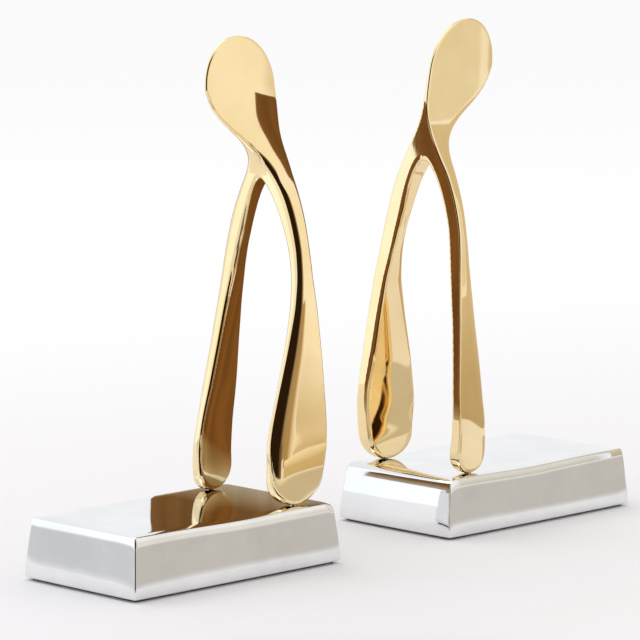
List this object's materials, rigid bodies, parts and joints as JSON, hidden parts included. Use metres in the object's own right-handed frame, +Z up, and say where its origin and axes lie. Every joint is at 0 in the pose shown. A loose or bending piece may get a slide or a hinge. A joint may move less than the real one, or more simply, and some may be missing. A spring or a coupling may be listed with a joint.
{
  "type": "book ends",
  "caption": "Pair of book ends: a wishbone-shaped polished brass casting standing on a solid polished metal block with a felt underside.",
  "frame": {"origin": "on the shelf, midway between the two book ends and midway between their front and back", "axes": "+X along the row of books towards the right book end, -Y towards the front (the spines or fore edges that are looked at), +Z up"},
  "size_m": [0.3868, 0.0888, 0.285],
  "materials": {
    "polished_nickel": "cast aluminium, nickel plated and hand polished to a soft mirror",
    "polished_brass": "cast brass, polished to a mirror and lacquered, champagne gold",
    "zinc_steel": "zinc plated steel fasteners",
    "felt": "black pressed wool felt"
  },
  "bodies": {
    "left_bookend": {"left_base": "polished_nickel", "left_wishbone": "polished_brass", "left_screws": "zinc_steel", "left_flat_washers": "zinc_steel", "left_lock_washers": "zinc_steel", "left_felt_pad": "felt"},
    "right_bookend": {"right_base": "polished_nickel", "right_wishbone": "polished_brass", "right_screws": "zinc_steel", "right_flat_washers": "zinc_steel", "right_lock_washers": "zinc_steel", "right_felt_pad": "felt"}
  },
  "joints": [
    {"name": "book_space_slide", "type": "slide", "parent": "left_bookend", "child": "right_bookend", "axis": [1, 0, 0], "range_m": [-0.081, 0.22]}
  ]
}
